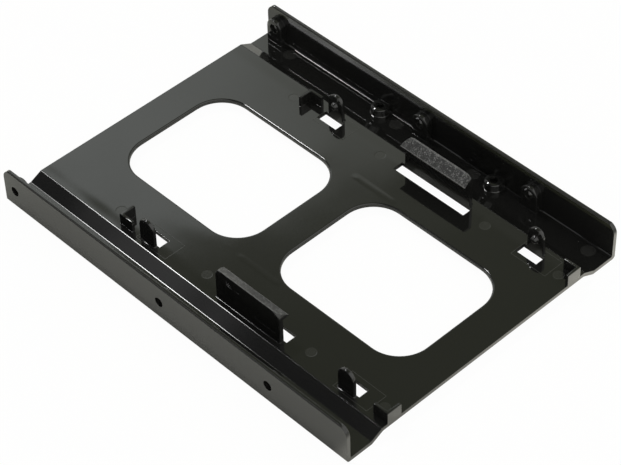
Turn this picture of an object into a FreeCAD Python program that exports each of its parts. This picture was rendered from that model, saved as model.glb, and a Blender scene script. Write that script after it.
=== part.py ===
"""Drive bay adapter bracket: one moulded tray that carries a small drive in a wide bay.

The tray is mirrored about its middle, so the half at +X is modelled and then mirrored whole.
Frame: X across the bay, Y along it, Z up, origin on the ground under the middle of the tray.
The drive's connector end is at -Y. All sizes are in millimetres.
"""
import FreeCAD, Part
import os
import re

import Sketcher

DRIVING_SIZES = {
    # The tray as a folded section, seen along Y
    "bay_width": 101.6,
    "rail_height": 12.3,
    "rail_gauge": 1.2,
    "sheet_gauge": 1.2,
    "deck_rise": 1.95,
    "deck_brink": 1.69,
    "slope_run": 3.95,
    "fold_round": 0.7,
    "rail_corner_round": 3.2,
    "rail_lip_round": 0.35,
    "rail_foot_round": 1.0,
    "rail_foot_fillet": 0.5,
    # Two large openings that leave a cross bridge
    "opening_width": 41.1,
    "bridge_width": 11.3,
    "deck_end_margin": 11.25,
    "opening_corner_round": 10.0,
    "opening_rim_round": 0.5,
    # The small drive that the deck carries
    "drive_width": 69.85,
    "drive_first_hole": 14.0,
    "drive_hole_pitch": 76.6,
    "drive_last_hole_margin": 9.6,
    "drive_end_gap": 0.2,
    "drive_side_gap": 0.235,
    # L-shaped stops at the corners of the drive
    "nest_side_gap": 0.575,
    "nest_end_gap": 0.8,
    "stop_gauge": 0.9,
    "stop_leg_across": 4.9,
    "stop_leg_along": 5.1,
    "stop_rise": 3.6,
    "stop_lip_chamfer": 0.15,
    "foot_fillet": 0.35,
    # Springy lugs whose pins enter the drive's side holes
    "lug_gauge": 1.2,
    "lug_half_width": 2.9,
    "lug_rise": 8.05,
    "lug_rim_chamfer": 0.2,
    "pin_rise": 4.35,
    "pin_length": 1.1,
    "pin_base_radius": 1.3,
    "pin_tip_radius": 0.85,
    "pin_tip_chamfer": 0.25,
    "window_reach": 3.55,
    "window_end_gap": 0.85,
    # Snap hooks over the drive's upper edges
    "hook_from_lug": 36.37,
    "hook_length": 24.6,
    "hook_gauge": 1.45,
    "hook_rise": 10.6,
    "hook_reach": 2.0,
    "hook_slant_drop": 2.25,
    "hook_tip_land": 0.4,
    "hook_corner_round": 2.6,
    "hook_back_chamfer": 0.35,
    "slot_end_gap": 1.05,
    # The wide bay's screw pattern, from the end of a drive that would fill it
    "bay_end_gap": 0.15,
    "rail_hole_first": 28.5,
    "rail_hole_second_step": 41.61,
    "rail_hole_third_step": 59.99,
    "rail_end_margin": 4.55,
    "rail_hole_height": 6.35,
    "rail_hole_radius": 1.5,
    "base_hole_inset": 3.175,
    "base_hole_first": 41.28,
    "base_hole_pitch": 44.45,
    # Bosses on the rails and posts on the channel floor
    "boss_radius": 3.0,
    "boss_reach": 2.1,
    "boss_rim_chamfer": 0.25,
    "post_radius": 2.75,
    "post_rise": 2.4,
    "post_hole_radius": 1.2,
    "post_lip_chamfer": 0.25,
    "post_flare_spread": 0.35,
    "post_flare_rise": 0.45,
}

DERIVED_SIZES = {
    "half_width": "=bay_width / 2",
    "rail_hole_span": "=rail_hole_second_step + rail_hole_third_step",
    "tray_length": "=bay_end_gap + rail_hole_first + rail_hole_span + rail_end_margin",
    "half_length": "=tray_length / 2",
    "rail_inside": "=half_width - rail_gauge",
    "deck_top": "=deck_rise + sheet_gauge",
    "opening_side": "=opening_width / 2",
    "opening_length": "=(tray_length - bridge_width) / 2 - deck_end_margin",
    "opening_place": "=(bridge_width + opening_length) / 2",
    "drive_length": "=drive_first_hole + drive_hole_pitch + drive_last_hole_margin",
    "nest_side": "=drive_width / 2 + nest_side_gap",
    "nest_start": "=stop_gauge - half_length",
    "nest_end": "=nest_start + drive_length + nest_end_gap",
    "lug_face": "=drive_width / 2 + drive_side_gap",
    "lug_near": "=nest_start + drive_end_gap + drive_first_hole",
    "lug_far": "=lug_near + drive_hole_pitch",
    "window_length": "=2 * (lug_half_width + window_end_gap)",
    "hook_middle": "=lug_near + hook_from_lug",
    "hook_back": "=lug_face + hook_gauge",
    "hook_tip": "=lug_face - hook_reach",
    "hook_top": "=deck_top + hook_rise",
    "hook_tip_top": "=hook_top - hook_slant_drop",
    "hook_tip_foot": "=hook_tip_top - hook_tip_land",
    "slot_length": "=hook_length + 2 * slot_end_gap",
    "slope_head": "=hook_back + deck_brink",
    "slope_foot": "=slope_head + slope_run",
    "fold_shift": "=sheet_gauge * tan(atan(deck_rise / slope_run) / 2)",
    "bay_end": "=bay_end_gap - half_length",
    "rail_hole_near": "=bay_end + rail_hole_first",
    "rail_hole_middle": "=rail_hole_near + rail_hole_second_step",
    "rail_hole_far": "=rail_hole_middle + rail_hole_third_step",
    "boss_face": "=rail_inside - boss_reach",
    "boss_top": "=rail_hole_height + boss_radius",
    "post_across": "=half_width - base_hole_inset",
    "post_near": "=bay_end + base_hole_first",
    "post_far": "=post_near + base_hole_pitch",
    "post_top": "=sheet_gauge + post_rise",
}

TOUCH = 1e-3
EDGE_SAMPLES = 5
SKETCH_ORIGIN = (-1, 1)
START, FINISH, CENTRE = range(1, 4)


def make_sizes(document):
    """Write the driving sizes as numbers and the derived ones as formulas."""
    sheet = document.addObject("Spreadsheet::Sheet", "Sizes")
    for row, (name, content) in enumerate({**DRIVING_SIZES, **DERIVED_SIZES}.items(), start=1):
        sheet.set(f"A{row}", name)
        sheet.set(f"B{row}", str(content))
        sheet.setAlias(f"B{row}", name)
    document.recompute()
    return sheet


document = FreeCAD.newDocument("drive_bay_bracket")
sizes = make_sizes(document)
tray = document.addObject("PartDesign::Body", "Tray")
tray.Label = "bracket"
document.recompute()


def value(rule):
    """Work out a rule such as "half_length - stop_gauge" from the sheet."""
    return float(sizes.evalExpression(rule))


def bound(rule):
    """The same rule as an expression that any object of the document can hold."""
    return re.sub(r"[a-z]+(_[a-z]+)+", r"Sizes.\g<0>", rule)


def add_feature(kind, name, rules=None, **settings):
    """Add a feature to the body with its sizes bound to rules, and stop if it fails."""
    feature = tray.newObject(f"PartDesign::{kind}", name)
    for key, setting in settings.items():
        setattr(feature, key, setting)
    for key, rule in (rules or {}).items():
        feature.setExpression(key, bound(rule))
    document.recompute()
    if feature.Shape.isNull() or not feature.Shape.isValid() or not feature.isValid():
        raise RuntimeError(f"{name} has no valid shape")
    return feature


# Sketches, whose every point is held by rules


def origin_plane(role):
    """One of the body's own origin planes."""
    return next(item for item in tray.Origin.OriginFeatures if item.Role == role)


def new_sketch(name, role, offset_rule="0"):
    """A sketch on an origin plane, moved along that plane's normal by a rule."""
    sketch = tray.newObject("Sketcher::SketchObject", name)
    sketch.AttachmentSupport = [(origin_plane(role), "")]
    sketch.MapMode = "FlatFace"
    sketch.setExpression("AttachmentOffset.Base.z", bound(offset_rule))
    document.recompute()
    return sketch


def hold(sketch, kind, references, rule):
    """Add a constraint of a size and bind it to its rule."""
    index = sketch.addConstraint(Sketcher.Constraint(kind, *references, value(rule)))
    sketch.setExpression(f"Constraints[{index}]", bound(rule))


def hold_point(sketch, geometry, end, across, up):
    """Fix a point of a sketch at its distances from the sketch's origin."""
    hold(sketch, "DistanceX", (*SKETCH_ORIGIN, geometry, end), across)
    hold(sketch, "DistanceY", (*SKETCH_ORIGIN, geometry, end), up)


def sketch_vector(across, up):
    """The point of a sketch plane at two rules."""
    return FreeCAD.Vector(value(across), value(up), 0)


def arc_piece(start, finish, centre_height):
    """The shorter arc between two points, and whether it turns anticlockwise from start to finish."""
    lifts = (start.y - centre_height) ** 2 - (finish.y - centre_height) ** 2
    centre_across = (start.x**2 - finish.x**2 + lifts) / (2 * (start.x - finish.x))
    centre = FreeCAD.Vector(centre_across, centre_height, 0)
    anticlockwise = (start - centre).cross(finish - centre).z > -TOUCH
    middle = (start + finish) / 2 - centre
    if middle.Length < TOUCH:
        middle = FreeCAD.Vector(start.y - finish.y, start.x - finish.x, 0)
    crown = centre + middle.normalize() * (start - centre).Length
    ends = (start, finish) if anticlockwise else (finish, start)
    return Part.Arc(ends[0], crown, ends[1]), anticlockwise


def add_outline(sketch, corners, arcs=None):
    """Close an outline through corners given as rules.

    The side that leaves a corner numbered in arcs is an arc whose centre has the height given there.
    """
    arcs = arcs or {}
    points = [sketch_vector(*corner) for corner in corners]
    sides = []
    for number, (point, following) in enumerate(zip(points, points[1:] + points[:1])):
        if number in arcs:
            piece, forward = arc_piece(point, following, value(arcs[number]))
            side = sketch.addGeometry(piece)
            hold(sketch, "DistanceY", (*SKETCH_ORIGIN, side, CENTRE), arcs[number])
        else:
            side, forward = sketch.addGeometry(Part.LineSegment(point, following)), True
        sides.append((side, START, FINISH) if forward else (side, FINISH, START))
    for (side, _, last), (following, first, _) in zip(sides, sides[1:] + sides[:1]):
        sketch.addConstraint(Sketcher.Constraint("Coincident", side, last, following, first))
    for (side, first, _), corner in zip(sides, corners):
        hold_point(sketch, side, first, *corner)


def add_box(sketch, low_across, high_across, low_up, high_up):
    """A rectangle between four rules."""
    lower = [(low_across, low_up), (high_across, low_up)]
    upper = [(high_across, high_up), (low_across, high_up)]
    add_outline(sketch, lower + upper)


def add_circle(sketch, across, up, radius):
    """A circle held by its centre and radius."""
    circle = Part.Circle(sketch_vector(across, up), FreeCAD.Vector(0, 0, 1), value(radius))
    geometry = sketch.addGeometry(circle)
    hold_point(sketch, geometry, CENTRE, across, up)
    hold(sketch, "Radius", (geometry,), radius)


def add_arch(sketch, middle, half_width, foot, spring):
    """An upright outline with a half-round top that springs at the given height."""
    left = f"{middle} - {half_width}"
    right = f"{middle} + {half_width}"
    add_outline(sketch, [(right, spring), (left, spring), (left, foot), (right, foot)], {0: spring})


# Features, each of which must do its work


def pad(name, sketch, length_rule, rules=None, **settings):
    """Add material from a sketch."""
    return add_feature("Pad", name, {"Length": length_rule, **(rules or {})}, Profile=sketch, **settings)


def pocket(name, sketch, length_rule=None, **settings):
    """Cut a sketch out of the body, right through where no length is given."""
    before = tray.Shape.Volume
    if length_rule is None:
        settings["Type"] = "ThroughAll"
    rules = {"Length": length_rule} if length_rule else {}
    feature = add_feature("Pocket", name, rules, Profile=sketch, **settings)
    if feature.Shape.Volume > before - TOUCH:
        raise RuntimeError(f"{name} cuts nothing")
    return feature


def edges_within(along=None, **limits):
    """Names of the edges that lie inside rules such as x="rail_inside", z=("0", "deck_top")."""
    bands = {}
    for axis, limit in limits.items():
        low, high = limit if isinstance(limit, tuple) else (limit, limit)
        bands[axis] = (value(low) - TOUCH, value(high) + TOUCH)
    found = []
    for number, edge in enumerate(tray.Shape.Edges, start=1):
        points = edge.discretize(EDGE_SAMPLES)
        inside = all(
            low <= getattr(point, axis) <= high for point in points for axis, (low, high) in bands.items()
        )
        run = points[-1] - points[0]
        straight = along is None or abs(abs(getattr(run, along)) - edge.Length) < TOUCH
        if inside and straight:
            found.append(f"Edge{number}")
    return found


def rim_edges(face, foot, **limits):
    """Edges of an upright face at the given x, without those at or below its foot."""
    feet = edges_within(x=face, z=("0", foot))
    return [name for name in edges_within(x=face, **limits) if name not in feet]


def outer_feet(ends):
    """Edges where a lug or hook meets the deck, apart from those at the brink of its window."""
    feet = edges_within(x=("lug_face", "hook_back"), y=ends, z="deck_top")
    brink = value("lug_face") + TOUCH
    return [name for name in feet if all(point.X > brink for point in tray.Shape.getElement(name).Vertexes)]


def soften(kind, name, edges, size_rule):
    """Fillet or chamfer edges by a size from the sheet."""
    if not edges:
        raise RuntimeError(f"{name} finds no edge")
    size_name = "Radius" if kind == "Fillet" else "Size"
    return add_feature(kind, name, {size_name: size_rule}, Base=(tray.Tip, edges))


# The parts of the tray


def make_section():
    """Deck, slope, channel floor and rail are one moulded sheet, drawn once and run along Y."""
    sketch = new_sketch("SectionSketch", "XZ_Plane")
    add_outline(
        sketch,
        [
            ("0", "deck_rise"),
            ("slope_head - fold_shift", "deck_rise"),
            ("slope_foot - fold_shift", "0"),
            ("half_width", "0"),
            ("half_width", "rail_height"),
            ("rail_inside", "rail_height"),
            ("rail_inside", "sheet_gauge"),
            ("slope_foot", "sheet_gauge"),
            ("slope_head", "deck_top"),
            ("0", "deck_top"),
        ],
    )
    pad("Section", sketch, "tray_length", SideType="Symmetric")


def round_section():
    """Round the folds beside the deck and the rail's foot and lip, all along the tray."""
    folds = edges_within(x="slope_foot", z="sheet_gauge")
    folds += edges_within(x="slope_head", z="deck_top")
    folds += edges_within(x="slope_foot - fold_shift", z="0")
    folds += edges_within(x="slope_head - fold_shift", z="deck_rise")
    soften("Fillet", "Folds", folds, "fold_round")
    soften("Fillet", "RailFootOutside", edges_within(x="half_width", z="0"), "rail_foot_round")
    soften("Fillet", "RailFootInside", edges_within(x="rail_inside", z="sheet_gauge"), "rail_foot_fillet")
    lips = edges_within(x="half_width", z="rail_height") + edges_within(x="rail_inside", z="rail_height")
    soften("Fillet", "RailLips", lips, "rail_lip_round")


def round_rail_corners():
    """Trim the rail's upper corners to a quarter round."""
    sketch = new_sketch("RailCornersSketch", "YZ_Plane", "half_width")
    spring = "rail_height - rail_corner_round"
    for sign in ("", "-"):
        tangent = f"{sign}(half_length - rail_corner_round)"
        end = f"{sign}half_length"
        corners = [(end, "rail_height"), (tangent, "rail_height"), (end, spring)]
        add_outline(sketch, corners, {1: spring})
    pocket("RailCorners", sketch, "rail_gauge")


def cut_openings():
    """Two rounded openings, one at each side of the cross bridge."""
    spans = []
    for place in ("opening_place", "-opening_place"):
        spans.append((f"{place} - opening_length / 2", f"{place} + opening_length / 2"))
    sketch = new_sketch("OpeningsSketch", "XY_Plane")
    for span in spans:
        add_box(sketch, "-opening_side", "opening_side", *span)
    pocket("Openings", sketch, SideType="Symmetric")
    corners = edges_within(along="z", x="opening_side", z=("deck_rise", "deck_top"))
    soften("Fillet", "OpeningCorners", corners, "opening_corner_round")
    rims = []
    for span in spans:
        rims += edges_within(x=("0", "opening_side"), y=span, z="deck_top")
    soften("Fillet", "OpeningRims", rims, "opening_rim_round")


def cut_windows():
    """Windows below the lug pins and a slot below the hook, where the mould's cores came through."""
    inner = "lug_face - window_reach"
    places = {"lug_near": "window_length", "lug_far": "window_length", "hook_middle": "slot_length"}
    sketch = new_sketch("WindowsSketch", "XY_Plane")
    for place, length in places.items():
        add_box(sketch, inner, "lug_face", f"{place} - {length} / 2", f"{place} + {length} / 2")
    pocket("Windows", sketch, SideType="Symmetric")


def raise_lugs():
    """Springy lugs whose tapered pins snap into the drive's side holes."""
    lugs = new_sketch("LugsSketch", "YZ_Plane", "lug_face")
    pins = new_sketch("PinsSketch", "YZ_Plane", "lug_face")
    for place in ("lug_near", "lug_far"):
        add_arch(lugs, place, "lug_half_width", "deck_rise", "deck_top + lug_rise - lug_half_width")
        add_circle(pins, place, "deck_top + pin_rise", "pin_base_radius")
    pad("Lugs", lugs, "lug_gauge")
    rims = []
    for face in ("lug_face", "lug_face + lug_gauge"):
        rims += rim_edges(face, "deck_top", z=("0", "deck_top + lug_rise"))
    soften("Chamfer", "LugRims", rims, "lug_rim_chamfer")
    feet = []
    for place in ("lug_near", "lug_far"):
        feet += outer_feet((f"{place} - lug_half_width", f"{place} + lug_half_width"))
    soften("Fillet", "LugFeet", feet, "foot_fillet")
    taper = "atan((pin_tip_radius - pin_base_radius) / pin_length)"
    pad("Pins", pins, "pin_length", {"TaperAngle": taper}, Reversed=True)
    soften("Chamfer", "PinTips", edges_within(x="lug_face - pin_length"), "pin_tip_chamfer")


def raise_hook():
    """A snap hook: an upright blade with a slanted head that the drive pushes aside."""
    blade = new_sketch("HookBladeSketch", "YZ_Plane", "hook_tip")
    ends = ("hook_middle - hook_length / 2", "hook_middle + hook_length / 2")
    add_box(blade, *ends, "deck_rise", "hook_top")
    pad("HookBlade", blade, "hook_reach + hook_gauge")
    corners = edges_within(along="x", y=ends, z="hook_top")
    soften("Fillet", "HookCorners", corners, "hook_corner_round")
    backs = rim_edges("hook_back", "deck_top", y=ends, z=("deck_top", "hook_top"))
    soften("Chamfer", "HookBack", backs, "hook_back_chamfer")
    soften("Fillet", "HookFoot", outer_feet(ends), "foot_fillet")
    relief = new_sketch("HookReliefSketch", "XZ_Plane", "-hook_middle")
    add_box(relief, "lug_face - window_reach", "lug_face", "0", "hook_tip_foot")
    add_outline(relief, [("hook_tip", "hook_tip_top"), ("hook_back", "hook_top"), ("hook_tip", "hook_top")])
    pocket("HookRelief", relief, "slot_length", SideType="Symmetric")


def raise_stops():
    """L-shaped stops at two corners of the drive, their lips softened."""
    outer_x = "nest_side + stop_gauge"
    tip_x = f"{outer_x} - stop_leg_across"
    sketch = new_sketch("StopsSketch", "XY_Plane", "deck_rise")
    for wall, outward, inward in (("nest_start", "-", "+"), ("nest_end", "+", "-")):
        outer_y = f"{wall} {outward} stop_gauge"
        tip_y = f"{outer_y} {inward} stop_leg_along"
        inner = [("nest_side", tip_y), ("nest_side", wall), (tip_x, wall)]
        outer = [(tip_x, outer_y), (outer_x, outer_y), (outer_x, tip_y)]
        add_outline(sketch, inner + outer)
    pad("Stops", sketch, "sheet_gauge + stop_rise")
    lips = edges_within(x=(tip_x, outer_x), z="deck_top + stop_rise")
    soften("Chamfer", "StopLips", lips, "stop_lip_chamfer")


def raise_posts():
    """Round posts for screws from below; they stand half in the rail and flare at the foot."""
    posts = new_sketch("PostsSketch", "XY_Plane")
    flares = new_sketch("PostFlaresSketch", "XY_Plane", "sheet_gauge")
    holes = new_sketch("PostHolesSketch", "XY_Plane")
    for place in ("post_near", "post_far"):
        add_circle(posts, "post_across", place, "post_radius")
        add_circle(flares, "post_across", place, "post_radius + post_flare_spread")
        add_circle(holes, "post_across", place, "post_hole_radius")
    pad("Posts", posts, "post_top")
    taper = "-atan(post_flare_spread / post_flare_rise)"
    pad("PostFlares", flares, "post_flare_rise", {"TaperAngle": taper})
    tops = edges_within(x=("post_across - post_radius", "rail_inside"), z="post_top")
    seams = edges_within(x="rail_inside", z="post_top")
    soften("Chamfer", "PostLips", [name for name in tops if name not in seams], "post_lip_chamfer")
    pocket("PostHoles", holes, SideType="Symmetric")


def raise_bosses():
    """Bosses that thicken the rail round its three screw holes, drawn down to the floor."""
    bosses = new_sketch("BossesSketch", "YZ_Plane", "boss_face")
    holes = new_sketch("RailHolesSketch", "YZ_Plane", "boss_face")
    for place in ("rail_hole_near", "rail_hole_middle", "rail_hole_far"):
        add_arch(bosses, place, "boss_radius", "sheet_gauge / 2", "rail_hole_height")
        add_circle(holes, place, "rail_hole_height", "rail_hole_radius")
    pad("Bosses", bosses, "boss_reach + rail_gauge / 2")
    rims = rim_edges("boss_face", "sheet_gauge", z=("sheet_gauge", "boss_top"))
    soften("Chamfer", "BossRims", rims, "boss_rim_chamfer")
    pocket("RailHoles", holes, Reversed=True)


def mirror_half():
    """Mirror the finished half about the middle plane."""
    half_volume = tray.Shape.Volume
    whole = tray.newObject("PartDesign::Mirrored", "Whole")
    whole.TransformMode = "Whole shape"
    whole.MirrorPlane = (origin_plane("YZ_Plane"), [""])
    whole.Refine = True
    tray.Tip = whole
    document.recompute()
    if abs(whole.Shape.Volume - 2 * half_volume) > TOUCH * half_volume:
        raise RuntimeError("the mirror does not double the half")


STEPS = (
    make_section,
    round_section,
    round_rail_corners,
    cut_openings,
    cut_windows,
    raise_lugs,
    raise_hook,
    raise_stops,
    raise_posts,
    raise_bosses,
    mirror_half,
)

for step in STEPS:
    step()
    print(f"{step.__name__}: {tray.Shape.Volume:.1f} mm3, {len(tray.Shape.Solids)} solid")

document.recompute()
for item in document.Objects:
    if {"Invalid", "Error"} & set(item.State):
        raise RuntimeError(f"{item.Name} is in the state {item.State}")
if not tray.Shape.isValid() or len(tray.Shape.Solids) != 1:
    raise RuntimeError("the tray is not one valid solid")

os.makedirs("parts", exist_ok=True)
tray.Shape.exportStep(f"parts/{tray.Label}.step")
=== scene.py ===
# %% [markdown]
# # A moulded drive tray in glossy black plastic
#
# The real object is one injection moulding: a flat deck with two large rounded openings, a sloping
# fold down to a channel on each side, and an upright rail outside each channel. Lugs, hooks, corner
# stops, posts and bosses all grow out of the same skin. The solid model is already exact, so this
# lesson is about the two things it can't hold: the finish of the plastic, and the light that makes
# a black shiny thing readable. All lengths here are in metres, in the tray's own frame.

import math

import bmesh
import bpy
from mathutils import Matrix, Vector


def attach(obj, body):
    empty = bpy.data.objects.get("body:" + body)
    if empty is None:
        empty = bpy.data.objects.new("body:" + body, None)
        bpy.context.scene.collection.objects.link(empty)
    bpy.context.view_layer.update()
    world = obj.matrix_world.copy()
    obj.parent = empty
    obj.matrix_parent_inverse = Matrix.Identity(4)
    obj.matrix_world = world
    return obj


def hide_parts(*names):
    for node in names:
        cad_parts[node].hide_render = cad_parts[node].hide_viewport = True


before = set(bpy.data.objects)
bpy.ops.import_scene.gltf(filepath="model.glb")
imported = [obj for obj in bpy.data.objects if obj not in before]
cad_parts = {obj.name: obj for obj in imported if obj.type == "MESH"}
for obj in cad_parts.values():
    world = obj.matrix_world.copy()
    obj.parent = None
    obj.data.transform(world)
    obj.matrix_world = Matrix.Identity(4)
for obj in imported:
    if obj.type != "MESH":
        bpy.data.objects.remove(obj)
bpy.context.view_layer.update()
MM = 0.001
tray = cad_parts["bracket"]

# %% [markdown]
# ## The camera
#
# A camera could be placed by eye, but a tray full of parallel edges lets its place be worked out:
# the rails, the ends and the screw holes give the angle, the distance and the lens. The three axes
# below are the picture's right, its down and the way the lens looks, and a matrix made of them turns
# the camera with no further angles. A long lens keeps the rails nearly parallel, as in a shop photo.

# %% Place the camera
PHOTO_WIDTH = 621
FOCAL_PIXELS = 2356.10
SENSOR_MM = 36.0
EYE = Vector((-0.31271, -0.33943, 0.45313))
RIGHT = Vector((0.71850896, -0.69516495, -0.02214852))
DOWN = Vector((-0.49947765, -0.49356614, -0.71197931))
FORWARD = Vector((0.48401131, 0.52262621, -0.70185105))

lens = bpy.data.cameras.new("studio camera")
lens.sensor_width = SENSOR_MM
lens.lens = FOCAL_PIXELS / PHOTO_WIDTH * SENSOR_MM
camera = bpy.data.objects.new("studio camera", lens)
bpy.context.collection.objects.link(camera)
turn = Matrix((RIGHT, -DOWN, -FORWARD)).transposed()
camera.matrix_world = Matrix.Translation(EYE) @ turn.to_4x4()
bpy.context.scene.camera = camera
bpy.context.scene.view_settings.view_transform = "Standard"
print("lens, mm:", round(lens.lens, 2))

# %% [markdown]
# ## Shader maths as plain Python
#
# A procedural finish is a formula over the surface: how far is this point from a mark's centre, is
# it on the deck, is it inside a ring? In the node editor each plus and minus is a node of its own.
# The small class below wraps one socket, and Python's operators on it add the Math nodes, so that
# a formula reads as a formula. `ramp` is the soft step that most of the masks are made of.

# %% Wrap a socket so that Python's operators build nodes
class Wire:
    """One output socket, on which Python's operators add Math nodes."""

    def __init__(self, socket):
        self.socket = socket

    def maths(self, operation, *others, clamp=False):
        tree = self.socket.id_data
        node = tree.nodes.new("ShaderNodeMath")
        node.operation = operation
        node.use_clamp = clamp
        for entry, given in zip(node.inputs, (self, *others)):
            plug(tree, entry, given)
        return Wire(node.outputs[0])

    def __add__(self, other):
        return self.maths("ADD", other)

    def __sub__(self, other):
        return self.maths("SUBTRACT", other)

    def __mul__(self, other):
        return self.maths("MULTIPLY", other)

    def __truediv__(self, other):
        return self.maths("DIVIDE", other)

    def __neg__(self):
        return self.maths("MULTIPLY", -1.0)

    def __rsub__(self, other):
        return -self + other

    def __abs__(self):
        return self.maths("ABSOLUTE")

    def __lt__(self, other):
        return self.maths("LESS_THAN", other)

    def __gt__(self, other):
        return self.maths("GREATER_THAN", other)

    __radd__ = __add__
    __rmul__ = __mul__

    def least(self, other):
        return self.maths("MINIMUM", other)

    def most(self, other):
        return self.maths("MAXIMUM", other)

    def ramp(self, start, end):
        """0 below start and 1 above end, rising smoothly between them; start may be the larger."""
        tree = self.socket.id_data
        node = tree.nodes.new("ShaderNodeMapRange")
        node.interpolation_type = "SMOOTHERSTEP"
        if start < end:
            limits, levels = (start, end), (0.0, 1.0)
        else:
            limits, levels = (end, start), (1.0, 0.0)
        for name, given in zip(("Value", "From Min", "From Max", "To Min", "To Max"), (self, *limits, *levels)):
            plug(tree, node.inputs[name], given)
        return Wire(node.outputs["Result"])


def plug(tree, entry, given):
    """Give an input socket either a link or a plain value."""
    if isinstance(given, Wire):
        tree.links.new(given.socket, entry)
    else:
        entry.default_value = given


print("wires take +, -, *, /, < and >")

# %% [markdown]
# ## One method for every other node
#
# A material and the world each own a tree of nodes. This class empties the tree and adds nodes to it.
# Whatever isn't arithmetic comes from its one method, `node`, which takes the node's type, then its
# settings, then what goes into its sockets: a wire becomes a link, and a plain value is simply set.

# %% Hold a node tree
class Nodes:
    """The node tree of a material or a world, emptied, with one method for any node."""

    def __init__(self, owner):
        owner.use_nodes = True
        self.tree = owner.node_tree
        self.tree.nodes.clear()

    def node(self, kind, settings=None, inputs=None, output=0):
        made = self.tree.nodes.new("ShaderNode" + kind)
        for name, setting in (settings or {}).items():
            setattr(made, name, setting)
        for name, given in (inputs or {}).items():
            plug(self.tree, made.inputs[name], given)
        return Wire(made.outputs[output])

    def axes(self, vector):
        """The three parts of a vector."""
        split = self.node("SeparateXYZ", inputs={0: vector}).socket.node
        return [Wire(out) for out in split.outputs]

    def finish(self, kind, shader):
        """Join a shader to the tree's output node."""
        made = self.tree.nodes.new("ShaderNode" + kind)
        plug(self.tree, made.inputs["Surface"], shader)

    def mix(self, factor, first, second):
        """Blend two colours."""
        made = self.tree.nodes.new("ShaderNodeMix")
        made.data_type = "RGBA"
        for number, given in ((0, factor), (6, first), (7, second)):
            plug(self.tree, made.inputs[number], given)
        return Wire(made.outputs[2])


print("trees take a node's type, settings and inputs")

# %% [markdown]
# ## The studio
#
# A shiny black thing has almost no colour of its own: nearly all that the eye sees on it is the room,
# mirrored at a twentieth of its strength. So the room is drawn first. A pale panel stands behind the
# tray; its upper edge slopes and it fades to the right, so the far half of the deck mirrors the panel
# and the near half mirrors the olive ceiling above it. The walls below the panel are lit too, but for
# a dark gap on the right, which keeps the roundings that mirror it from turning white. To the left the
# room is dark, and behind the camera a large soft light fills the faces that look at it. One hot tube
# hangs overhead and draws white lines along the folds, and a weak glow beside it lifts the left slope.
#
# Panels and lamps could be set up as objects, but what shows in the plastic is only their direction
# and how soft their edges are, and the world's sky takes both as plain numbers: a compass angle, a
# height and a sideways tilt in degrees. The camera itself sees plain white instead of the sky, which
# is what Is Camera Ray is for.

# %% Measure the sky in degrees
WHITE = (1.0, 1.0, 1.0, 1.0)
DEGREES = math.degrees(1.0)

world = bpy.data.worlds.new("studio")
bpy.context.scene.world = world
sky = Nodes(world)
way_x, way_y, way_z = sky.axes(sky.node("TexCoord", output=0))
height = way_z.maths("ARCSINE") * DEGREES
compass = way_x.maths("ARCTAN2", way_y) * DEGREES
print("sky nodes so far:", len(sky.tree.nodes))

# %% Draw the panel and the ceiling
PANEL_NEAR = (1.68, 1.76, 1.69, 1.0)
PANEL_FAR = (0.76, 0.79, 0.67, 1.0)
PANEL_FADE = (34.0, 50.0)
PANEL_TOP = 44.45
PANEL_TOP_COMPASS = 39.5
PANEL_TOP_SLOPE = -0.23
PANEL_EDGE = (-0.7, 0.6)
CEILING_LOW = (0.40, 0.42, 0.33, 1.0)
CEILING_HIGH = (0.29, 0.31, 0.22, 1.0)
CEILING_FADE = (0.5, 4.0)
SIDE_DARK = (0.10, 0.10, 0.105, 1.0)
PANEL_FOOT = (28.0, 38.0)
LOW_LIGHT = (0.95, 0.96, 0.93, 1.0)
GAP_START = (24.0, 38.0)
GAP_END = (84.0, 72.0)
GAP_FOOT = (18.0, 26.0)
DARK_SIDE = (28.0, 4.0)
SOFT_LIGHT = (1.42, 1.42, 1.37, 1.0)
BEHIND = (0.0, -0.35)
ABOVE = (0.05, 0.25)

panel_top = (compass.most(PANEL_TOP_COMPASS) - PANEL_TOP_COMPASS) * PANEL_TOP_SLOPE + PANEL_TOP
over_panel = height - panel_top
panel = sky.mix(compass.ramp(*PANEL_FADE), PANEL_NEAR, PANEL_FAR)
ceiling = sky.mix(over_panel.ramp(*CEILING_FADE), CEILING_LOW, CEILING_HIGH)
walls = sky.mix(over_panel.ramp(*PANEL_EDGE), panel, ceiling)
walls = sky.mix(compass.ramp(*DARK_SIDE), walls, SIDE_DARK)
gap = compass.ramp(*GAP_START) * compass.ramp(*GAP_END) * height.ramp(*GAP_FOOT)
low_walls = sky.mix(gap, LOW_LIGHT, SIDE_DARK)
walls = sky.mix(height.ramp(*PANEL_FOOT), low_walls, walls)
walls = sky.mix(way_y.ramp(*BEHIND) * way_z.ramp(*ABOVE), walls, SOFT_LIGHT)
print("panel top at the tray's middle, degrees:", PANEL_TOP)

# %% Hang the tube and hide the room from the camera
TUBE_TILT = 3.0
TUBE_HALF = (13.0, 6.0)
TUBE_NEAR_END = (0.505, 0.555)
TUBE_FAR_END = (0.632, 0.545)
TUBE_LEVEL = 52.0
HALO_TILT = -6.0
HALO_HALF = (30.0, 8.0)
HALO_FAR_END = (0.61, 0.56)
HALO_LEVEL = 0.7

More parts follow.
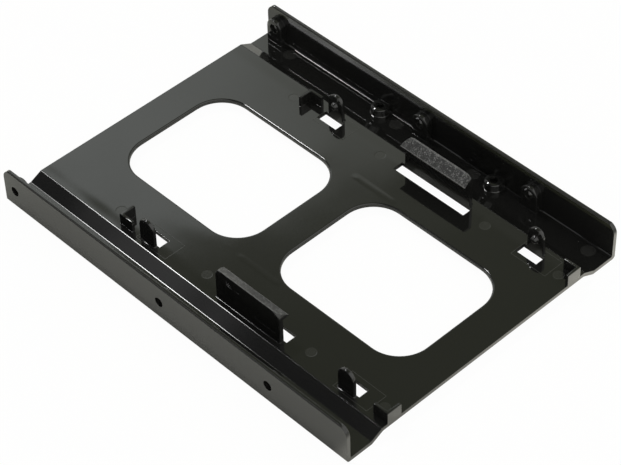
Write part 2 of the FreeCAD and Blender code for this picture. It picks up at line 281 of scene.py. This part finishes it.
tilt = way_x.maths("ARCTAN2", way_z) * DEGREES
near_end = way_y.ramp(*TUBE_NEAR_END) * (way_z > 0.0)
tube = abs(tilt - TUBE_TILT).ramp(*TUBE_HALF) * way_y.ramp(*TUBE_FAR_END) * TUBE_LEVEL
halo = abs(tilt - HALO_TILT).ramp(*HALO_HALF) * way_y.ramp(*HALO_FAR_END) * HALO_LEVEL
room = sky.node("Background", inputs={"Color": walls, "Strength": 1.0})
bulb = sky.node("Background", inputs={"Color": WHITE, "Strength": (tube + halo) * near_end})
lit_room = sky.node("AddShader", inputs={0: room, 1: bulb})
plain = sky.node("Background", inputs={"Color": WHITE, "Strength": 1.0})
camera_ray = sky.node("LightPath")
sky.finish("OutputWorld", sky.node("MixShader", inputs={0: camera_ray, 1: lit_room, 2: plain}))
print("sky nodes:", len(sky.tree.nodes))

# %% [markdown]
# ## The floor
#
# The floor is white card. A part of its brightness to the camera is a steady glow, so that it comes
# out nearly pure white while the tray's shadow stays on it, as on a light table. In the mirror of the
# plastic it is plain lit card, which is darker under the tray, and a little brighter in front of it,
# where a cream pool of light is painted onto the card as a glow; the end faces mirror it as if a lamp
# stood outside the picture. The card lies a hair below the tray's feet, because two faces in exactly
# the same place flicker.

# %% Lay the floor
FLOOR_SIZE = 4.0
FLOOR_DROP = 0.02 * MM
CARD = (0.80, 0.80, 0.75, 1.0)
CREAM = (1.0, 0.96, 0.86, 1.0)
GLOW_SHARE = 0.965
POOL_DEPTH = (-100 * MM, -74 * MM)
POOL_FRONT = (-60 * MM, -66 * MM)
POOL_ALONG = (-70 * MM, 55 * MM)
POOL_LEFT_SHARE = 0.3
POOL_LEVEL = 1.5

card = bpy.data.meshes.new("floor")
half = FLOOR_SIZE / 2
corners = [(x * half, y * half, -FLOOR_DROP) for x, y in ((-1, -1), (1, -1), (1, 1), (-1, 1))]
card.from_pydata(corners, [], [(0, 1, 2, 3)])
floor = bpy.data.objects.new("floor", card)
bpy.context.collection.objects.link(floor)

paper = bpy.data.materials.new("white card")
sheet = Nodes(paper)
across, along, _ = sheet.axes(sheet.node("TexCoord", output=3))
matt = sheet.node("BsdfDiffuse", inputs={"Color": CARD})
glow = sheet.node("Emission", inputs={"Color": WHITE, "Strength": 1.0})
to_camera = sheet.node("MixShader", inputs={0: GLOW_SHARE, 1: matt, 2: glow})
# A cream pool of light painted on the card in front of the tray, as a glow hidden from the camera.
front = along.ramp(*POOL_DEPTH) * along.ramp(*POOL_FRONT)
spread = across.ramp(*POOL_ALONG) * (1.0 - POOL_LEFT_SHARE) + POOL_LEFT_SHARE
pool_light = sheet.node("Emission", inputs={"Color": CREAM, "Strength": front * spread * POOL_LEVEL})
in_mirror = sheet.node("AddShader", inputs={0: matt, 1: pool_light})
camera_ray = sheet.node("LightPath")
sheet.finish("OutputMaterial", sheet.node("MixShader", inputs={0: camera_ray, 1: in_mirror, 2: to_camera}))
card.materials.append(paper)
print("floor, m:", FLOOR_SIZE, "below the feet, mm:", FLOOR_DROP / MM)

# %% [markdown]
# ## A skin that bends light smoothly
#
# The exact model arrives as loose flat triangles, and in a mirror finish every flat facet of a fold
# shows. A finer mesh would hide them slowly; the quick way is to tell the shader how the surface
# really bends. The triangles are joined into one skin, edges sharper than a chamfer are kept crisp,
# and Weighted Normals lets each broad flat face keep its own direction, so the narrow facets between
# two faces turn the light from one to the other, as a moulded radius does.

# %% Join the triangles into one skin
JOIN_DISTANCE = 0.001 * MM
CRISP_ANGLE = math.radians(54.5)

joined = bmesh.new()
joined.from_mesh(tray.data)
bmesh.ops.remove_doubles(joined, verts=joined.verts, dist=JOIN_DISTANCE)
for face in joined.faces:
    face.smooth = True
for edge in joined.edges:
    edge.smooth = edge.calc_face_angle(math.pi) < CRISP_ANGLE
skin_mesh = bpy.data.meshes.new("moulded skin")
joined.to_mesh(skin_mesh)
print("edges:", len(joined.edges), "crisp:", sum(not edge.smooth for edge in joined.edges))
joined.free()

# %% Give broad faces the say over their normals
blank = bpy.data.objects.new("skin blank", skin_mesh)
bpy.context.collection.objects.link(blank)
weigh = blank.modifiers.new("broad faces first", "WEIGHTED_NORMAL")
weigh.keep_sharp = True
view = bpy.context.evaluated_depsgraph_get()
final_mesh = bpy.data.meshes.new_from_object(
    blank.evaluated_get(view), preserve_all_data_layers=True, depsgraph=view)
bpy.data.objects.remove(blank)
skin_piece = bpy.data.objects.new("moulded_skin", final_mesh)
bpy.context.collection.objects.link(skin_piece)
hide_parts("bracket")
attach(skin_piece, "root")
print("skin triangles:", sum(len(polygon.vertices) - 2 for polygon in final_mesh.polygons))

# %% [markdown]
# ## Marks that the mould leaves
#
# A mould isn't one block of steel. Round ejector pins push the tray out and leave faint discs, and
# separate inserts form the lug windows and leave hairlines round them. Between the two openings,
# streams of hot plastic meet and weld in a faint ridge, and along its sides the deck rolls off by a
# few hundredths of a millimetre before the fold. All of this is far too shallow to model, so it is
# drawn as heights, in millimetres, over the tray's own coordinates: a disc is a distance from a point,
# a hairline is a distance from a rectangle's side, and a ridge or a roll is a ramp across the tray.

# %% Read the place on the skin in millimetres
plastic = bpy.data.materials.new("black moulded plastic")
skin = Nodes(plastic)
place = skin.node("TexCoord", output=3)
across, along, up = (part / MM for part in skin.axes(place))
side = abs(across)
DECK_TOP = 3.15
CHANNEL_TOP = 1.2
FLAT_REACH = 0.05


def at_level(wire, level, reach):
    """1 where the wire is within reach of the level, and 0 a little further off."""
    return abs(wire - level).ramp(reach * 1.5, reach)


on_deck = at_level(up, DECK_TOP, FLAT_REACH)
on_channel = at_level(up, CHANNEL_TOP, FLAT_REACH)
print("levels, mm:", DECK_TOP, CHANNEL_TOP)

# %% Press the ejector discs
DECK_PINS = {"across": 32.9, "radius": 1.55, "along": (39.0, 3.95, -36.15, -62.9)}
CHANNEL_PINS = {"across": 46.85, "radius": 2.05, "along": (55.25, 11.3, -18.5, -61.3)}
DISC_DEPTH = 0.011
DISC_EDGE = 0.2


def discs(pins):
    """1 inside any of the discs that a row of ejector pins leaves, on both halves of the tray."""
    offset = side - pins["across"]
    found = None
    for middle in pins["along"]:
        step = along - middle
        distance = (offset * offset + step * step).maths("SQRT")
        disc = distance.ramp(pins["radius"] + DISC_EDGE / 2, pins["radius"] - DISC_EDGE / 2)
        found = disc if found is None else found.most(disc)
    return found


ejected = (discs(DECK_PINS) * on_deck).most(discs(CHANNEL_PINS) * on_channel)
disc_rims = ejected * (1.0 - ejected) * 4.0
print("ejector discs:", 2 * (len(DECK_PINS["along"]) + len(CHANNEL_PINS["along"])))

# %% Draw the insert hairlines
INSERT_ACROSS = (30.0, 37.1)
INSERT_SPANS = ((-60.6, -48.4), (16.15, 28.2))
HAIRLINE = 0.14
HAIRLINE_HEIGHT = 0.003


def off_middle(wire, span):
    """How far the wire is outside a span, below 0 inside it."""
    low, high = span
    return abs(wire - (low + high) / 2) - (high - low) / 2


hairlines = None
for span in INSERT_SPANS:
    outside = off_middle(side, INSERT_ACROSS).most(off_middle(along, span))
    line = abs(outside).ramp(HAIRLINE, 0.0)
    hairlines = line if hairlines is None else hairlines.most(line)
hairlines = hairlines * on_deck
print("inserts:", 2 * len(INSERT_SPANS))

# %% Raise the weld ridges and roll off the deck's sides
WELD_ACROSS = 22.0
WELD_REACH = 1.5
WELD_ALONG = -4.6
WELD_HALF = 6.0
WELD_FADE = 3.0
WELD_HEIGHT = 0.012
DECK_SIDE = 39.0
ROLL_REACH = 6.0
ROLL_DEPTH = 0.05
weld_length = abs(along - WELD_ALONG).ramp(WELD_HALF + WELD_FADE, WELD_HALF)
weld_lines = abs(side - WELD_ACROSS).ramp(WELD_REACH, 0.0) * weld_length * on_deck
roll = side.ramp(DECK_SIDE - ROLL_REACH, DECK_SIDE) * on_deck
print("weld ridges and rolls, mm:", WELD_HEIGHT, ROLL_DEPTH)

# %% [markdown]
# ## Waves, grain and the eroded hook heads
#
# Large flat mouldings are never quite flat: as they cool they sink and bow by a few hundredths of a
# millimetre, which is enough to bend a mirrored edge. That is a slow noise. The steel's own polish is
# a fine one. On the inside of each rail, a little below the lip, a lighter olive band is painted on:
# a painted reflection. The lip's left-hand edges carry the fine matt seam of the parting line. The
# slanted heads of the hooks weren't polished at all but left as the spark eroder cut them. Eroded steel
# is a field of tiny craters: Voronoi cells give each one a brightness of its own, and raising it to the
# fifth power leaves only a few of them bright. These bright cells are painted glints, sparkle put into
# the colour, and a painted highlight runs along the tip edge and the back edge of each slanted head.

# %% Add waves and grain
BOW = {"Scale": 38.0, "Detail": 0.0, "Distortion": 0.4}
BOW_HEIGHT = 0.15
RIPPLE = {"Scale": 170.0, "Detail": 1.0}
RIPPLE_HEIGHT = 0.002
GRAIN = {"Scale": 2600.0, "Detail": 2.0}
GRAIN_HEIGHT = 0.0001
bow, ripple, grain = (skin.node("TexNoise", inputs={"Vector": place, **size}) for size in (BOW, RIPPLE, GRAIN))
waves = bow * BOW_HEIGHT + ripple * RIPPLE_HEIGHT + grain * GRAIN_HEIGHT
print("full range of the bow, mm:", BOW_HEIGHT)

# %% Find the hook heads
HEAD_TIP = (33.16, 11.5)
HEAD_BACK = (36.61, 13.75)
HEAD_RISE = (HEAD_BACK[1] - HEAD_TIP[1]) / (HEAD_BACK[0] - HEAD_TIP[0])
HEAD_REACH = 0.08
above_slant = up - (side - HEAD_TIP[0]) * HEAD_RISE
on_head = at_level(above_slant, HEAD_TIP[1], HEAD_REACH) * (up > HEAD_TIP[1] - FLAT_REACH)
print("hook head slant:", round(HEAD_RISE, 3))

# %% Find the walls and the lips of the rails
RAIL_INSIDE = 49.6
LIP_INSIDE = 49.5
RAIL_HEIGHT = 12.3
WALL_REACH = 0.04
WALL_FOOT = (CHANNEL_TOP, CHANNEL_TOP + 0.5)
# Foot of the olive band painted under the lip, a painted reflection.
REFLECTION_BAND_FOOT = (RAIL_HEIGHT - 1.6, RAIL_HEIGHT - 1.5)
LIP_FOOT = (RAIL_HEIGHT - 0.4, RAIL_HEIGHT - 0.3)
LIP_MIDDLE = 50.2
LIP_FLAT = 0.22
on_wall = at_level(side, RAIL_INSIDE, WALL_REACH) * up.ramp(*WALL_FOOT)
# A lighter olive band painted along the top of each rail's inner wall: a painted reflection.
olive_reflection_band = on_wall * up.ramp(*REFLECTION_BAND_FOOT)
on_lip = up.ramp(*LIP_FOOT) * (side > LIP_INSIDE)
left_edges = (across < -LIP_MIDDLE - LIP_FLAT).most((across > 0.0) * (across < LIP_MIDDLE - LIP_FLAT))
matt_edges = on_lip * left_edges
print("dull band under the lip, mm:", round(RAIL_HEIGHT - REFLECTION_BAND_FOOT[1], 2))

# %% Erode the hook heads and paint their glints and rim highlights
SPARK_SCALE = 3000.0
GLINT_POWER = 5.0
RIM_HIGHLIGHT_WIDTH = 0.15
RIM_HIGHLIGHT_INSET = 0.4
PIT_HEIGHT = 0.02
sparks = skin.node("TexVoronoi", inputs={"Vector": place, "Scale": SPARK_SCALE}, output=1)
spark, _, _ = skin.axes(sparks)
# Painted glints: the brightest eroded cells, put into the colour as sparkle.
painted_glints = on_head * spark.maths("POWER", GLINT_POWER)
# Painted highlights along the tip edge and the back edge of each slanted head.
tip_highlight = at_level(side, HEAD_TIP[0], RIM_HIGHLIGHT_WIDTH)
painted_rim_highlights = on_head * tip_highlight.most(at_level(side, HEAD_BACK[0] - RIM_HIGHLIGHT_INSET, RIM_HIGHLIGHT_WIDTH))
pits = spark * on_head * PIT_HEIGHT
print("sparks per mm:", SPARK_SCALE * MM)

# %% [markdown]
# ## Dust, and the black itself
#
# A tray that has been handled carries a few motes, which gather in patches: a Voronoi pattern's cell
# centres are kept only where a slow noise is high, and a mote's edge is measured in cells of that
# pattern, which are nearly 5 mm wide. The plastic under the motes is nearly black, and the marks,
# the painted reflection band under the lip, and the eroded heads with their painted glints and painted
# rim highlights are mixed over it one after another. All heights go into one Bump node, whose normal
# comes from a Bevel node. That rounds the crisp edges of posts and lugs by a tenth of a millimetre
# without one more face. On the lips the normal stays as built, because the lines there are finer than
# the Bevel node's own noise.

# %% Scatter a little dust
MOTE_SCALE = 210.0
MOTE_EDGE = (0.0336, 0.0192)
PATCH_SCALE = 45.0
PATCH_EDGE = (0.56, 0.66)
motes = skin.node("TexVoronoi", inputs={"Vector": place, "Scale": MOTE_SCALE, "Randomness": 1.0}, output=0)
patches = skin.node("TexNoise", inputs={"Vector": place, "Scale": PATCH_SCALE, "Detail": 1.0})
dust = motes.ramp(*MOTE_EDGE) * patches.ramp(*PATCH_EDGE)
print("mote radius, mm:", round(MOTE_EDGE[0] / MOTE_SCALE / MM, 2))

# %% Mix the colour of the plastic, painted glints and painted reflection band included
JET = (0.0072, 0.0072, 0.0068, 1.0)
ERODED_LOW = (0.008, 0.008, 0.0078, 1.0)
# Grey of the painted glints and painted rim highlights on the hook heads.
PAINTED_GLINT_GREY = (0.145, 0.145, 0.142, 1.0)
MARKED = (0.030, 0.030, 0.028, 1.0)
# Olive of the band painted under each rail's lip, a painted reflection.
PAINTED_OLIVE_REFLECTION = (0.030, 0.032, 0.020, 1.0)
DUST = (0.22, 0.22, 0.21, 1.0)
DISC_SHARE = 0.4
DISC_RIM_SHARE = 0.3
HAIRLINE_SHARE = 0.8
RIM_HIGHLIGHT_SHARE = 0.5
REFLECTION_BAND_SHARE = 0.5
DUST_SHARE = 0.6

marks = (ejected * DISC_SHARE + disc_rims * DISC_RIM_SHARE + hairlines * HAIRLINE_SHARE).least(1.0)
body = skin.mix(marks, JET, MARKED)
body = skin.mix(on_head, body, ERODED_LOW)
# Paint the glints and the rim highlights onto the hook heads.
body = skin.mix((painted_glints + painted_rim_highlights * RIM_HIGHLIGHT_SHARE).least(1.0), body, PAINTED_GLINT_GREY)
# Paint the olive reflection band onto the rails' inner walls.
body = skin.mix(olive_reflection_band * REFLECTION_BAND_SHARE, body, PAINTED_OLIVE_REFLECTION)
body = skin.mix(dust * DUST_SHARE, body, DUST)
print("the black itself:", JET[:3])

# %% Dull the polish where something has touched it
POLISH = 0.04
GRAIN_SHARE = 0.03
GRAIN_SPAN = (0.3, 0.7)
DULLING = (
    (ejected, 0.05), (hairlines, 0.2), (on_wall, 0.03), (matt_edges, 0.8), (on_head, 0.33), (dust, 0.5),
)

roughness = grain.ramp(*GRAIN_SPAN) * GRAIN_SHARE + POLISH
for mask, added in DULLING:
    roughness = roughness + mask * added
print("roughness of the polished skin:", POLISH)

# %% Press the marks into the surface and round its edges
EDGE_RADIUS = 0.13 * MM

relief = waves - roll * ROLL_DEPTH - ejected * DISC_DEPTH
relief = relief + weld_lines * WELD_HEIGHT + hairlines * HAIRLINE_HEIGHT + pits
rounded = skin.node("Bevel", {"samples": 8}, {"Radius": EDGE_RADIUS})
as_built = skin.node("NewGeometry", output=1)
facing = skin.node("Mix", {"data_type": "VECTOR"}, {0: on_lip, 4: rounded, 5: as_built}, output=1)
bump = skin.node("Bump", inputs={"Strength": 1.0, "Distance": MM, "Height": relief, "Normal": facing})
print("edge radius, mm:", EDGE_RADIUS / MM)

# %% Finish the plastic and put it on the tray
surface = skin.node("BsdfPrincipled", inputs={
    "Base Color": body,
    "Roughness": roughness,
    "IOR": 1.5,
    "Normal": bump,
})
skin.finish("OutputMaterial", surface)
final_mesh.materials.clear()
final_mesh.materials.append(plastic)
for tray_slot in tray.material_slots:
    tray_slot.material = plastic
print("plastic nodes:", len(skin.tree.nodes))
